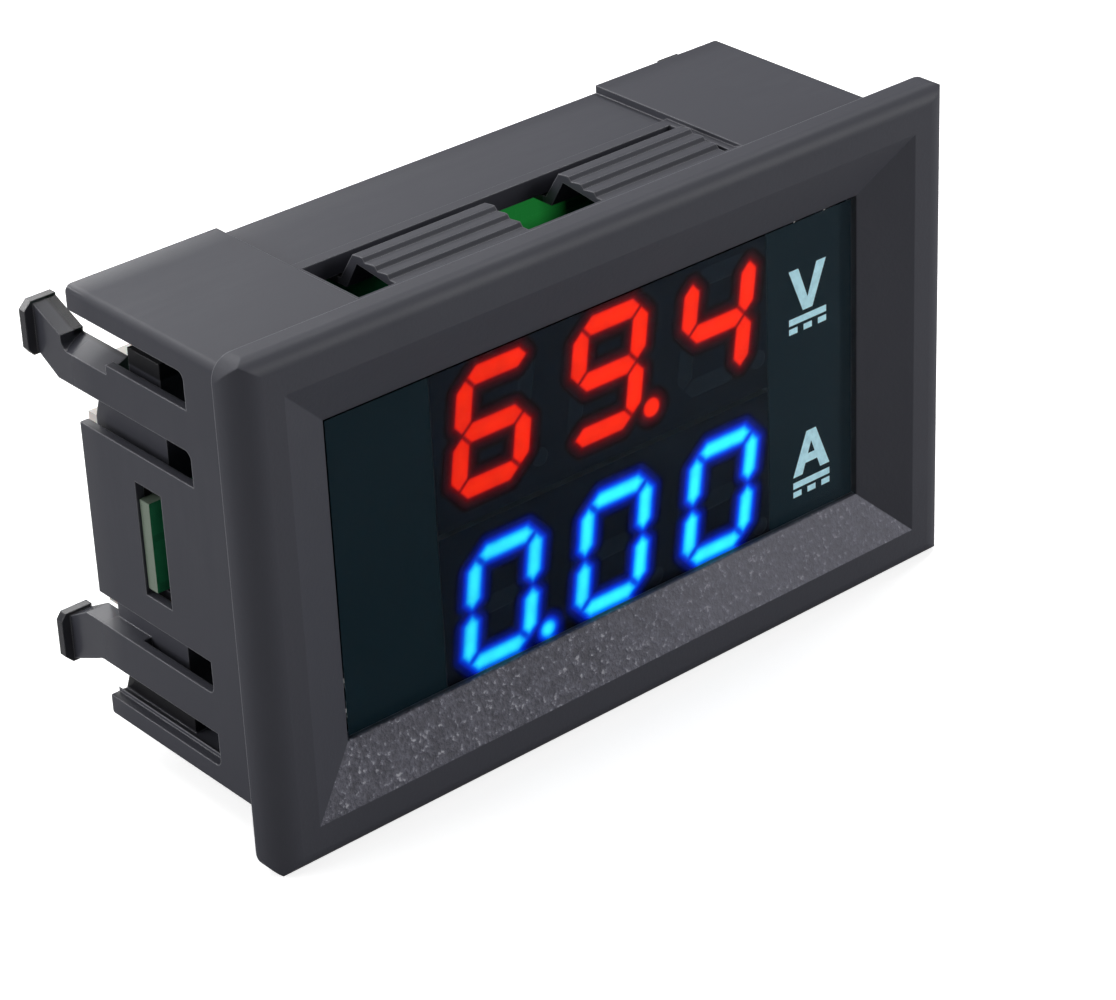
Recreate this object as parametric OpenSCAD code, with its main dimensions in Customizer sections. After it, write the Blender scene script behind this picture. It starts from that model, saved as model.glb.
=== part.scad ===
// Digital panel meter: a two-line volt and ammeter that snaps into a panel cut-out.
// X runs to the right, Y runs into the panel and Z runs up.
// The origin is the centre of the panel's front face, behind the bezel.

/* [Bezel] */
// Width of the bezel
bezel_w = 48; // [47.5:0.5:50]
// Height of the bezel
bezel_h = 29; // [28.5:0.5:31]
// How far the bezel stands in front of the panel
bezel_t = 1.8; // [1.7:0.1:2.2]
// Rounding of the bezel's left and right front edges
bezel_side_r = 1.6; // [1:0.1:1.6]
// Rounding of the bezel's top and bottom front edges
bezel_top_r = 0.9; // [0.5:0.1:1.2]
// Width of the flat rim around the sloping recess, at the sides
rim_side = 2.8; // [2.4:0.1:3]
// Width of the flat rim around the sloping recess, above and below
rim_top = 2.3; // [1.8:0.1:2.5]
// Depth from the rim to the display window
recess_depth = 1.4; // [1.2:0.1:1.5]

/* [Body] */
// Width of the body that passes the panel cut-out
body_w = 44.6; // [44.4:0.1:45.4]
// Height of the body that passes the panel cut-out
body_h = 25.4; // [25.2:0.1:26.4]
// Depth of the body behind the panel's front face
body_d = 14.75; // [14.5:0.25:16]
// Thickness of the side walls
side_wall = 0.5; // [0.45:0.05:0.6]
// Thickness of the top and bottom walls
top_wall = 1.35; // [1.2:0.05:1.4]

/* [Snap arms] */
// Height of each snap arm
arm_h = 2.35; // [2:0.05:2.4]
// Height of the lower edge of the upper arm above the centre line
arm_z = 6.95; // [6.9:0.05:7.1]
// How far the arms reach behind the body
arm_reach = 3.75; // [3.5:0.25:4.5]
// How far the end lips stand out from the sides
lip_out = 0.55; // [0.4:0.05:0.8]

/* [Display] */
// Width of the window
window_w = 36.2; // [35.8:0.1:36.4]
// Height of the window
window_h = 18.4; // [18.2:0.1:18.6]
// Digits of the upper, red line
red_digits = [6, 9, 4];
// Which red digit its decimal point follows, counted from 0
red_point = 1; // [0:1:2]
// Digits of the lower, blue line
blue_digits = [0, 0, 0];
// Which blue digit its decimal point follows, counted from 0
blue_point = 0; // [0:1:2]
// Height of a digit
digit_h = 7.2; // [6.8:0.1:7.3]
// Width of a digit
digit_w = 5.1; // [4.6:0.1:5.2]
// Lean of the digits in degrees
digit_lean = 8; // [0:1:10]
// Distance from one digit to the next
digit_pitch = 7.72; // [7.5:0.02:7.8]

/* [Trimmers] */
// Diameter of an adjusting rotor
rotor_d = 2.9; // [2.6:0.1:3]
// Radial gap between a rotor's pin and its seat
rotor_gap = 0.03; // [0.02:0.01:0.05]

/* [Hidden] */
$fn = 48;
fit = 0.1;
skin = 0.02;
big = 60;

// Bezel and front wall
window_y = recess_depth - bezel_t;
front_wall_y = 0.35;
window_half = [window_w / 2, window_h / 2];

// Inside of the body
inner_w = body_w - 2 * side_wall;
inner_h = body_h - 2 * top_wall;

// Circuit board
board_t = 0.8;
board_recess = 4.55;
board_back = body_d - board_recess;
board_y = board_back - board_t;
board_w = inner_w - 3.2;
board_h = inner_h - 1.3;
ear_w = body_w - 0.3;
ear_h = 5.2;
ear_z = -0.35;

// Slots beside the snap arms, and the inner web with a ledge in front of the board
slot_y = 4.95;
panel_half_h = 5;
arm_thick = 1.4;
arm_thick_y = body_d - 2.95;
web_gap = 0.5;
web_t = 0.4;
web_rear_y = arm_thick_y - 0.6;
ledge_y = board_y - 0.9;
ledge_w = 2;
arm_bend_y = body_d + 0.4;
arm_rise = 1.25;
arm_step = 0.55;
lip_t = 0.5;
arm_end_y = body_d + arm_reach;

// Side windows for the board's ears
side_window_y = board_back - 2.2;
side_window_h = 6.6;

// Catch slots in the top and bottom walls
corner_r = 0.4;
catch_slot_x = 12.5;
catch_slot_y0 = 3.55;
catch_slot_y1 = 8.2;
catch_spans = [[-10.2, -1.5], [3.5, 12.2]];
catch_t = 0.4;
ramp_half = 12.95;
ramp_low = 0.25;
ramp_deep = 0.45;
tooth_count = 3;
tooth_pitch = 1;
tooth_h = 0.22;
tooth_first_y = 4;
hook_t = 0.6;

// Display window
lens_boss_y = window_y + skin;
lens_back_y = front_wall_y + 0.45;
lens_flange = 1.2;
film_y = lens_back_y + skin;
film_t = 0.15;

// Display modules
led_face_y = lens_back_y + 0.05;
led_margin = 2.7;
row_gap = 0.3;
rows_middle = -0.55;
led_w = 23;
led_h = (inner_h - led_margin) / 2;
led_x = 0.5;
digits_x = 0.65;
led_block_t = 2.6;
led_standoff = 1.15;
led_depth = board_y - led_face_y - led_standoff;
led_wall = 0.8;
led_board_t = 1;
die_t = 0.25;
die_size = 0.35;
red_z = rows_middle + (led_h + row_gap) / 2;
blue_z = rows_middle - (led_h + row_gap) / 2;
segment_t = 1;
segment_gap = 0.16;
point_r = 0.52;
point_x = 2.95;
legend_x = 15.05;
legend_w = 2.8;
legend_h = 2.6;
legend_stroke = 0.72;
pin_r = 0.25;
pin_pitch = 2.54;
pin_inset = 1.19;
pin_rows = led_h - 2 * pin_inset;

// Headers
header_x = -17.1;
header_w = 5.8;
header_t = 7.4;
header_wall = 0.6;
header_floor = 1.6;
header_edge = 0.15;
header_gap = 0.2;
supply_len = 9.9;
supply_pins = 3;
supply_z = header_edge + supply_len / 2 - board_h / 2;
sense_len = 7;
sense_pins = 2;
sense_z = supply_z + (supply_len + sense_len) / 2 + header_gap;
post = 0.64;

// Trimmers
trimmer_x = 17;
trimmer_z = 5.2;
trimmer_w = 3.8;
trimmer_t = 1.1;
rotor_t = 0.6;
rotor_pin_r = 0.55;
rotor_pin_t = 0.8;
rotor_y = board_back + trimmer_t + 0.05;

// Small parts on the back of the board: width, height and thickness
chip_lift = 0.1;
mcu_at = [led_x, red_z];
mcu_size = [6.6, 4, 1.1];
amp_at = [led_x, blue_z];
amp_size = [4.9, 3.6, 1.3];
regulator_at = [-10, 5];
regulator_size = [4.4, 2.4, 1.4];
diode_at = [-10, -5];
diode_size = [4.1, 2.5, 1.9];
lead_t = 0.2;
lead_reach = 0.95;
mcu_lead_pitch = 0.65;
amp_lead_pitch = 1.27;
shunt_x = 11;
shunt_half = 6.6;
shunt_w = 2;
shunt_t = 0.7;
shunt_rise = 1.7;
reservoir_r = 2;
reservoir_t = 4.6;
reservoir_at = [header_x + header_w / 2 + reservoir_r + fit, board_h / 2 - reservoir_r - fit];
capacitor_size = [1.3, 1.25, 0.9];
resistor_size = [1.3, 1.2, 0.5];
end_cap = 0.4;
capacitor_spots = [[-10, 1.4], [-10, -1.5], [14, 8.6], [14, -8.6]];
resistor_spots = [[-8.3, 8.9], [-10, -8.6], [18.2, 8.8], [18.2, -8.8], [17, 0]];

// Segments of each figure from 0 to 9, lettered a to g and numbered from 0
FIGURES = [
    [0, 1, 2, 3, 4, 5], [1, 2], [0, 1, 3, 4, 6], [0, 1, 2, 3, 6], [1, 2, 5, 6],
    [0, 2, 3, 5, 6], [0, 2, 3, 4, 5, 6], [0, 1, 2], [0, 1, 2, 3, 4, 5, 6], [0, 1, 2, 3, 5, 6]
];

// ---- Drawing helpers ----

// Extrudes a shape drawn in X and Z from one depth to another
module along_y(y0, y1) {
    translate([0, y1, 0]) rotate([90, 0, 0]) linear_extrude(height = y1 - y0) children();
}

// Extrudes a shape drawn in Y and Z from left to right
module along_x(x0, x1) {
    translate([x0, 0, 0]) rotate([90, 0, 90]) linear_extrude(height = x1 - x0) children();
}

// Extrudes a shape drawn in X and Y upwards
module along_z(z0, z1) {
    translate([0, 0, z0]) linear_extrude(height = z1 - z0) children();
}

module box(x0, x1, y0, y1, z0, z1) {
    translate([x0, y0, z0]) cube([x1 - x0, y1 - y0, z1 - z0]);
}

module round_rect(w, h, r) {
    square([w - 2 * r, h], center = true);
    square([w, h - 2 * r], center = true);
    for (sx = [-1, 1], sz = [-1, 1]) translate([sx * (w / 2 - r), sz * (h / 2 - r)]) circle(r = r);
}

// A bar across X whose two front corners are rounded
module front_rounded(w, y0, y1, r) {
    translate([-w / 2 + r, y0]) square([w - 2 * r, y1 - y0]);
    translate([-w / 2, y0 + r]) square([w, y1 - y0 - r]);
    for (s = [-1, 1]) translate([s * (w / 2 - r), y0 + r]) circle(r = r);
}

// Repeats a piece above and below the centre line
module above_and_below() {
    children();
    mirror([0, 0, 1]) children();
}

// Repeats a piece on the left and on the right
module left_and_right() {
    children();
    mirror([1, 0, 0]) children();
}

// ---- Housing ----

module bezel_block() {
    intersection() {
        along_y(-bezel_t, 0) round_rect(bezel_w, bezel_h, 1.2);
        along_z(-bezel_h, bezel_h) front_rounded(bezel_w, -bezel_t, big, bezel_side_r);
        rotate([0, 90, 0]) along_z(-bezel_w, bezel_w) front_rounded(bezel_h, -bezel_t, big, bezel_top_r);
    }
}

// Wedge profile that narrows from the rim to the window
module funnel_profile(rim_half, half) {
    slope = (rim_half - half) / recess_depth;
    ahead = 0.5;
    polygon([
        [-rim_half - slope * ahead, -bezel_t - ahead], [rim_half + slope * ahead, -bezel_t - ahead],
        [half, window_y], [half, front_wall_y + 1], [-half, front_wall_y + 1], [-half, window_y]
    ]);
}

module front_recess() {
    intersection() {
        along_z(-bezel_h, bezel_h) funnel_profile(bezel_w / 2 - rim_side, window_half[0]);
        rotate([0, 90, 0]) along_z(-bezel_w, bezel_w)
            funnel_profile(bezel_h / 2 - rim_top, window_half[1]);
    }
}

// Slot in a side wall, seen from the side, with a rounded upper front corner
module side_slot(z0, z1) {
    r = 0.45;
    left = slot_y;
    along_x(-body_w, 0) union() {
        translate([left + r, z0]) square([big, z1 - z0]);
        translate([left, z0]) square([big, z1 - z0 - r]);
        translate([left + r, z1 - r]) circle(r = r);
    }
}

module side_openings() {
    left_and_right() intersection() {
        box(-body_w, -inner_w / 2 + skin, 0, big, -bezel_h, bezel_h);
        union() {
            above_and_below() {
                side_slot(panel_half_h, arm_z);
                side_slot(arm_z + arm_h, inner_h / 2);
            }
            side_window();
        }
    }
}

module side_window() {
    box(-body_w, 0, side_window_y, board_back + 0.05, -side_window_h / 2, side_window_h / 2);
}

// Thin web inside each side wall, tied to the bottom wall and the arms, with a ledge for the board
module side_web() {
    x0 = -inner_w / 2 + web_gap;
    z0 = -inner_h / 2 - skin;
    z1 = arm_z + 0.3;
    z2 = board_h / 2 - 0.55;
    difference() {
        union() {
            along_x(x0, x0 + web_t) polygon([
                [ledge_y, z0], [body_d, z0], [body_d - 0.8, z0 + 2], [body_d, z0 + 4],
                [body_d, panel_half_h], [body_d - 0.8, z1], [web_rear_y, z1], [web_rear_y, z2], [ledge_y, z2]
            ]);
            box(x0, x0 + web_t + ledge_w, ledge_y, board_y - fit / 2, z0, z2);
        }
        side_window();
    }
}

// Shallow guide recess in the top wall, deeper behind the catch slot
module guide_recess() {
    top = body_h / 2;
    along_x(-ramp_half, ramp_half) polygon([
        [2.9, top + 1], [2.9, top], [catch_slot_y0, top - ramp_low], [8.9, top - ramp_low],
        [9.2, top - ramp_deep], [big, top - ramp_deep], [big, top + 1]
    ]);
}

module catch_slot() {
    box(-catch_slot_x, catch_slot_x, catch_slot_y0, catch_slot_y1, inner_h / 2 - 1, body_h);
}

// Ratchet catch in profile: a thin leaf with low teeth outside and a hook behind the board
module catch_profile() {
    top = body_h / 2;
    root_y = catch_slot_y0 - 0.1;
    root_z = top - ramp_low;
    crest_y = tooth_first_y + tooth_count * tooth_pitch;
    rise = 0.13;
    crest_z = root_z + tooth_count * rise;
    under = inner_h / 2 - 0.15;
    hook_top = board_h / 2 + fit;
    hook_y = board_back + fit;
    teeth = [for (i = [0:tooth_count - 1]) let (y = tooth_first_y + i * tooth_pitch) each [
        [y, root_z + i * rise], [y + 0.2, root_z + i * rise + tooth_h], [y + 0.4, root_z + i * rise + tooth_h]
    ]];
    polygon(concat(
        [[root_y, root_z]],
        teeth,
        [
            [crest_y, crest_z], [catch_slot_y1 - 0.1, under], [hook_y + hook_t, under],
            [hook_y + hook_t, hook_top - 0.4], [hook_y + hook_t - 0.3, hook_top - 0.7],
            [hook_y, hook_top - 0.7], [hook_y, hook_top],
            [catch_slot_y1 - 0.55, hook_top], [crest_y - 0.35, crest_z - catch_t], [root_y, root_z - catch_t]
        ]
    ));
}

module catches() {
    above_and_below() for (span = catch_spans) along_x(span[0], span[1]) catch_profile();
}

// The part of a snap arm that is thicker than the wall, with its bend and end lip
module arm_end() {
    out = body_w / 2;
    z1 = arm_z + arm_h;
    along_x(-out, -out + arm_thick) polygon([
        [arm_thick_y, arm_z], [arm_end_y - 2.2, arm_z], [arm_end_y - lip_t, arm_z + 0.95],
        [arm_end_y, arm_z + 0.95], [arm_end_y, z1 + arm_rise], [arm_end_y - lip_t, z1 + arm_rise],
        [arm_bend_y + 0.5, z1 + 0.22], [arm_bend_y + 0.2, z1 + 0.06], [arm_bend_y - 0.1, z1],
        [arm_thick_y, z1]
    ]);
    along_y(arm_end_y - lip_t, arm_end_y) polygon([
        [-out + arm_thick, arm_z + 0.75], [-out - lip_out + 0.3, arm_z + 0.75],
        [-out - lip_out, arm_z + 1.15], [-out - lip_out, z1 + arm_rise - 0.3],
        [-out - 0.1, z1 + arm_rise + 0.15], [-out + arm_thick, z1 + arm_rise + 0.15]
    ]);
}

// Slope along the outer upper edge of an upper arm's thick part, with a rounded run-out
module arm_slope() {
    out = body_w / 2;
    z1 = arm_z + arm_h;
    r = 0.6;
    intersection() {
        along_y(arm_thick_y, arm_bend_y + r) polygon([
            [-out - 1, z1 + 0.3], [-out - 1, z1 - 2 * arm_step], [-out, z1 - arm_step],
            [-out + arm_thick, z1], [-out + arm_thick, z1 + 0.3]
        ]);
        along_x(-out - 1, -out + arm_thick) union() {
            translate([arm_thick_y - 1, z1 - arm_step - r]) square([arm_bend_y - arm_thick_y + 1, bezel_h]);
            translate([arm_bend_y, z1 - arm_step + r]) circle(r = r);
        }
    }
}

module housing() {
    color("#4a4a4e") difference() {
        union() {
            difference() {
                union() {
                    bezel_block();
                    along_y(-skin, body_d) round_rect(body_w, body_h, corner_r);
                }
                front_recess();
                along_y(front_wall_y, big) round_rect(inner_w, inner_h, corner_r);
                side_openings();
                above_and_below() {
                    guide_recess();
                    catch_slot();
                }
            }
            catches();
            left_and_right() {
                side_web();
                above_and_below() arm_end();
            }
        }
        left_and_right() arm_slope();
    }
}

// ---- Window and printed marks ----

module display_window() {
    color("#10242c") union() {
        along_y(lens_boss_y, lens_back_y) square([window_w - 2 * fit, window_h - 2 * fit], center = true);
        along_y(front_wall_y, lens_back_y)
            square([window_w + 2 * lens_flange, window_h + 2 * lens_flange], center = true);
    }
}

// Direct-current sign: a bar above three dashes
module dc_sign(w) {
    gap = 0.45;
    dash = (w - 2 * gap) / 3;
    translate([0, 0.28]) square([w, 0.4], center = true);
    for (i = [-1:1]) translate([i * (dash + gap), -0.28]) square([dash, 0.36], center = true);
}

// Letter V with strokes of width s
module letter_v(w, h, s) {
    polygon([
        [-w / 2, h], [-w / 2 + s, h], [0, s], [w / 2 - s, h], [w / 2, h], [s / 2, 0], [-s / 2, 0]
    ]);
}

// Letter A with strokes of width s
module letter_a(w, h, s) {
    bar_low = h * 0.24;
    bar_high = bar_low + s * 0.75;
    slope = (w / 2 - s) / (h - s);
    difference() {
        polygon([
            [-w / 2, 0], [-s / 2, h], [s / 2, h], [w / 2, 0], [w / 2 - s, 0],
            [w / 2 - s - slope * bar_low, bar_low], [-w / 2 + s + slope * bar_low, bar_low],
            [-w / 2 + s, 0]
        ]);
        polygon([
            [0, h - s], [w / 2 - s - slope * bar_high, bar_high],
            [-w / 2 + s + slope * bar_high, bar_high]
        ]);
    }
}

module legend_outlines() {
    translate([legend_x, red_z - 1.3]) letter_v(legend_w, legend_h, legend_stroke);
    translate([legend_x, red_z - 2.05]) dc_sign(legend_w);
    translate([legend_x + 0.2, blue_z - 1.1]) letter_a(legend_w, legend_h, legend_stroke);
    translate([legend_x + 0.2, blue_z - 1.9]) dc_sign(legend_w);
}

module legend_marks() {
    color("#d8f4f8") along_y(film_y, film_y + film_t) legend_outlines();
}

// Dark print on the back of the window, open over the display modules
module mask_film() {
    color("#0c1a20") along_y(film_y, film_y + film_t) difference() {
        square([window_w + 2 * lens_flange, window_h + 2 * lens_flange], center = true);
        translate([led_x, rows_middle]) square([led_w + 2 * fit, 2 * led_h + row_gap + 2 * fit], center = true);
        legend_outlines();
    }
}

// ---- Display modules ----

// Leans a point of a digit over to the right, about the digit's middle
function lean(p) = [p[0] + p[1] * tan(digit_lean), p[1]];

// Ends of segment k, about the digit's middle
function segment_ends(k) =
    let (u = digit_w / 2 - segment_t / 2, v = digit_h / 2 - segment_t / 2)
    k == 0 ? [[-u, v], [u, v]] :
    k == 1 ? [[u, 0], [u, v]] :
    k == 2 ? [[u, -v], [u, 0]] :
    k == 3 ? [[-u, -v], [u, -v]] :
    k == 4 ? [[-u, -v], [-u, 0]] :
    k == 5 ? [[-u, 0], [-u, v]] : [[-u, 0], [u, 0]];

// A six-sided segment, leaning with its digit
module segment(k) {
    ends = segment_ends(k);
    d = (ends[1] - ends[0]) / norm(ends[1] - ends[0]);
    n = [-d[1], d[0]] * segment_t / 2;
    a = ends[0] + d * segment_gap;
    b = ends[1] - d * segment_gap;
    taper = segment_t / 2;
    polygon([for (p = [a, a + d * taper + n, b - d * taper + n, b, b - d * taper - n, a + d * taper - n])
        lean(p)]);
}

module decimal_point() {
    translate([point_x, -digit_h / 2 + 0.5]) circle(r = point_r);
}

function digit_x(i) = digits_x + (i - 1) * digit_pitch;
function is_lit(figure, k) = len(search(k, FIGURES[figure])) > 0;

// All segments of three digits that are lit or dark
module segments(figures, point, lit) {
    for (i = [0:2]) translate([digit_x(i), 0]) {
        for (k = [0:6]) if (is_lit(figures[i], k) == lit) segment(k);
        if ((i == point) == lit) decimal_point();
    }
}

// Lit and dark segments are clear resin that fills the wells of the shell
module segment_fill(z, figures, point, lit) {
    translate([0, 0, z]) along_y(led_face_y + skin, led_face_y + led_block_t - die_t - 0.05)
        segments(figures, point, lit);
}

module led_shell(z) {
    translate([0, 0, z]) difference() {
        along_y(led_face_y, led_face_y + led_depth) translate([led_x, 0])
            square([led_w, led_h], center = true);
        along_y(led_face_y - 1, led_face_y + led_block_t + 1) for (i = [0:2]) translate([digit_x(i), 0]) {
            for (k = [0:6]) segment(k);
            decimal_point();
        }
        along_y(led_face_y + led_block_t, big) translate([led_x, 0])
            square([led_w - 2 * led_wall, led_h - 2 * led_wall], center = true);
    }
    foot = led_wall / 2;
    for (sx = [-1, 1], sz = [-1, 1])
        translate([led_x + sx * (led_w / 2 - foot), 0, z + sz * (led_h / 2 - foot)])
            box(-foot, foot, led_face_y + led_depth - foot, board_y, -foot, foot);
}

function segment_middle(k) = lean((segment_ends(k)[0] + segment_ends(k)[1]) / 2);

module led_chips(z) {
    y1 = led_face_y + led_block_t;
    for (i = [0:2]) translate([digit_x(i), 0, z]) {
        for (k = [0:6]) translate([segment_middle(k)[0], y1 - die_t / 2, segment_middle(k)[1]])
            cube([die_size, die_t, die_size], center = true);
        translate([point_x, y1 - die_t / 2, -digit_h / 2 + 0.5])
            cube([die_size, die_t, die_size], center = true);
    }
}

function led_pin_spots(z) = [for (i = [0:5], s = [-1, 1])
    [led_x + (i - 2.5) * pin_pitch, z + s * pin_rows / 2]];

module led_board(z) {
    y0 = led_face_y + led_block_t;
    translate([0, 0, z]) along_y(y0, y0 + led_board_t) translate([led_x, 0])
        square([led_w - 2 * led_wall - 0.2, led_h - 2 * led_wall - 0.2], center = true);
}

module led_potting(z) {
    y0 = led_face_y + led_block_t + led_board_t;
    y1 = led_face_y + led_depth - 0.3;
    difference() {
        translate([0, 0, z]) along_y(y0, y1) translate([led_x, 0])
            square([led_w - 2 * led_wall - 0.2, led_h - 2 * led_wall - 0.2], center = true);
        along_y(y0 - 1, y1 + 1) for (p = led_pin_spots(z)) translate(p) circle(r = pin_r);
    }
}

module led_pins(z) {
    along_y(led_face_y + led_block_t + led_board_t, board_back + 0.9)
        for (p = led_pin_spots(z)) translate(p) circle(r = pin_r);
}

module red_led_shell() color("#2a2a2e") led_shell(red_z);
module red_lit_segments() color("#ff3a1e") segment_fill(red_z, red_digits, red_point, true);
module red_dark_segments() color("#3a3d48") segment_fill(red_z, red_digits, red_point, false);
module red_led_chips() color("#c86a4a") led_chips(red_z);
module red_led_board() color("#d8d2b8") led_board(red_z);
module red_led_potting() color("#e0dccf") led_potting(red_z);
module red_led_pins() color("#c8c8cc") led_pins(red_z);
module blue_led_shell() color("#2a2a2e") led_shell(blue_z);
module blue_lit_segments() color("#4af0ff") segment_fill(blue_z, blue_digits, blue_point, true);
module blue_dark_segments() color("#3a3d58") segment_fill(blue_z, blue_digits, blue_point, false);
module blue_led_chips() color("#6a90c8") led_chips(blue_z);
module blue_led_board() color("#d8d2b8") led_board(blue_z);
module blue_led_potting() color("#e0dccf") led_potting(blue_z);
module blue_led_pins() color("#c8c8cc") led_pins(blue_z);

// ---- Circuit board ----

function header_posts(z, count) = [for (i = [0:count - 1])
    [header_x, z + (i - (count - 1) / 2) * pin_pitch]];
shunt_feet = [[shunt_x, -shunt_half], [shunt_x, shunt_half]];

module circuit_board() {
    color("#1f7a4a") difference() {
        along_y(board_y, board_back) union() {
            square([board_w, board_h], center = true);
            translate([0, ear_z]) square([ear_w, ear_h], center = true);
        }
        along_y(board_y - 1, board_back + 1) {
            for (z = [red_z, blue_z], p = led_pin_spots(z)) translate(p) circle(r = 0.4);
            for (p = concat(header_posts(supply_z, supply_pins), header_posts(sense_z, sense_pins)))
                translate(p) circle(r = 0.5);
            for (p = shunt_feet) translate(p) square([shunt_w + 0.2, shunt_t + 0.2], center = true);
        }
    }
}

// ---- Chips ----

// A moulded chip body lying on the back of the board
module chip_body(at, size) {
    w = size[0];
    h = size[1];
    t = size[2];
    draft = 0.1;
    translate([at[0], board_back + chip_lift, at[1]]) along_z(-h / 2, h / 2) polygon([
        [-w / 2 + draft, 0], [w / 2 - draft, 0], [w / 2, t / 2], [w / 2 - draft, t],
        [-w / 2 + draft, t], [-w / 2, t / 2]
    ]);
}

// One gull-wing lead in profile, reaching down to the board
module gull_lead(h, t, reach, w) {
    top = t / 2 + lead_t / 2;
    foot = -chip_lift + lead_t;
    along_x(-w / 2, w / 2) polygon([
        [top, h / 2], [top, h / 2 + 0.4], [foot, h / 2 + 0.5], [foot, h / 2 + reach],
        [-chip_lift, h / 2 + reach], [-chip_lift, h / 2 + 0.3], [top - lead_t, h / 2 + 0.2],
        [top - lead_t, h / 2]
    ]);
}

module lead_rows(at, size, reach, w, pitch, count) {
    translate([at[0], board_back + chip_lift, at[1]]) above_and_below()
        for (i = [0:count - 1]) translate([(i - (count - 1) / 2) * pitch, 0, 0])
            gull_lead(size[1], size[2], reach, w);
}

module microcontroller() {
    dot_r = 0.35;
    color("#26262a") difference() {
        chip_body(mcu_at, mcu_size);
        translate([mcu_at[0] - mcu_size[0] / 2 + 2 * dot_r, board_back + mcu_size[2],
                   mcu_at[1] - mcu_size[1] / 2 + 2 * dot_r])
            rotate([-90, 0, 0]) cylinder(r = dot_r, h = 1);
    }
}

module microcontroller_leads() color("#c0c0c4") lead_rows(mcu_at, mcu_size, lead_reach, 0.25, mcu_lead_pitch, 10);
module amplifier() color("#26262a") chip_body(amp_at, amp_size);
module amplifier_leads() color("#c0c0c4") lead_rows(amp_at, amp_size, lead_reach, 0.42, amp_lead_pitch, 4);
module voltage_regulator() color("#26262a") chip_body(regulator_at, regulator_size);

module regulator_leads() {
    edge = regulator_size[1] / 2;
    color("#c0c0c4") translate([regulator_at[0], 0, regulator_at[1]]) {
        for (x = [-1.5, 0, 1.5])
            box(x - 0.22, x + 0.22, board_back, board_back + lead_t + chip_lift, -edge - 0.8, -edge);
        box(-0.8, 0.8, board_back, board_back + lead_t + chip_lift, edge, edge + 0.6);
    }
}

module input_diode() color("#2a2a2c") chip_body(diode_at, diode_size);

module diode_leads() {
    edge = diode_size[0] / 2;
    top = board_back + chip_lift + diode_size[2] / 2 + lead_t;
    reach = 0.45;
    color("#c0c0c4") translate([diode_at[0], 0, diode_at[1]]) left_and_right()
        along_z(-0.7, 0.7) polygon([
            [edge, top - lead_t], [edge, top], [edge + reach, top], [edge + reach, board_back],
            [edge - 0.7, board_back], [edge - 0.7, board_back + chip_lift],
            [edge + reach - lead_t, board_back + chip_lift], [edge + reach - lead_t, top - lead_t]
        ]);
}

// Bridge of resistance alloy whose two feet pass through the board
module current_shunt() {
    top = board_back + shunt_rise;
    r = 1;
    color("#b9a284") along_x(shunt_x - shunt_w / 2, shunt_x + shunt_w / 2) difference() {
        union() {
            translate([board_y - 0.3, -shunt_half - shunt_t / 2])
                square([top + shunt_t - r - board_y + 0.3, 2 * shunt_half + shunt_t]);
            translate([board_back, -shunt_half - shunt_t / 2 + r])
                square([shunt_rise + shunt_t, 2 * (shunt_half + shunt_t / 2 - r)]);
            for (s = [-1, 1]) translate([top + shunt_t - r, s * (shunt_half + shunt_t / 2 - r)])
                circle(r = r);
        }
        translate([board_y - 1, -shunt_half + shunt_t / 2])
            square([top - board_y + 1, 2 * shunt_half - shunt_t]);
    }
}

// ---- Headers ----

// Open shroud that guides a plug onto the posts, with two key slots on its outer side
module header_shell(z, length, count) {
    y1 = board_back + header_t;
    key_w = 1.1;
    key_z = length / 2 - 2.3;
    translate([header_x, 0, z]) difference() {
        box(-header_w / 2, header_w / 2, board_back, y1, -length / 2, length / 2);
        box(-header_w / 2 + header_wall, header_w / 2 - header_wall, board_back + header_floor, big,
            -length / 2 + header_wall, length / 2 - header_wall);
        for (s = [-1, 1])
            box(-big, 0, board_back + 2.6, big, s * key_z - key_w / 2, s * key_z + key_w / 2);
        along_y(board_back - 1, big) for (i = [0:count - 1])
            translate([0, (i - (count - 1) / 2) * pin_pitch]) square(post, center = true);
    }
}

module header_pins(z, count) {
    along_y(board_y - 1, board_back + header_t - 1)
        for (p = header_posts(z, count)) translate(p) square(post, center = true);
}

module supply_header() color("#e8e4d8") header_shell(supply_z, supply_len, supply_pins);
module supply_header_pins() color("#d8c890") header_pins(supply_z, supply_pins);
module sense_header() color("#e8e4d8") header_shell(sense_z, sense_len, sense_pins);
module sense_header_pins() color("#d8c890") header_pins(sense_z, sense_pins);

// ---- Trimmers ----

module trimmer_base(z) {
    translate([trimmer_x, 0, z]) difference() {
        along_y(board_back, board_back + trimmer_t) square(trimmer_w, center = true);
        along_y(board_back + trimmer_t - rotor_pin_t - 0.1, big) circle(r = rotor_pin_r + rotor_gap);
    }
}

// Slotted disc on a pin that turns in the base
module trimmer_rotor(z) {
    translate([trimmer_x, 0, z]) difference() {
        union() {
            along_y(rotor_y, rotor_y + rotor_t) circle(d = rotor_d);
            along_y(rotor_y - rotor_pin_t, rotor_y + rotor_t / 2) circle(r = rotor_pin_r);
        }
        along_y(rotor_y + rotor_t - 0.35, big) {
            square([rotor_d * 0.75, 0.4], center = true);
            square([0.4, rotor_d * 0.75], center = true);
        }
    }
}

module voltage_trimmer_base() color("#f0efe8") trimmer_base(trimmer_z);
module voltage_trimmer_rotor() color("#cfcfd2") trimmer_rotor(trimmer_z);
module current_trimmer_base() color("#f0efe8") trimmer_base(-trimmer_z);
module current_trimmer_rotor() color("#cfcfd2") trimmer_rotor(-trimmer_z);

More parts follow.
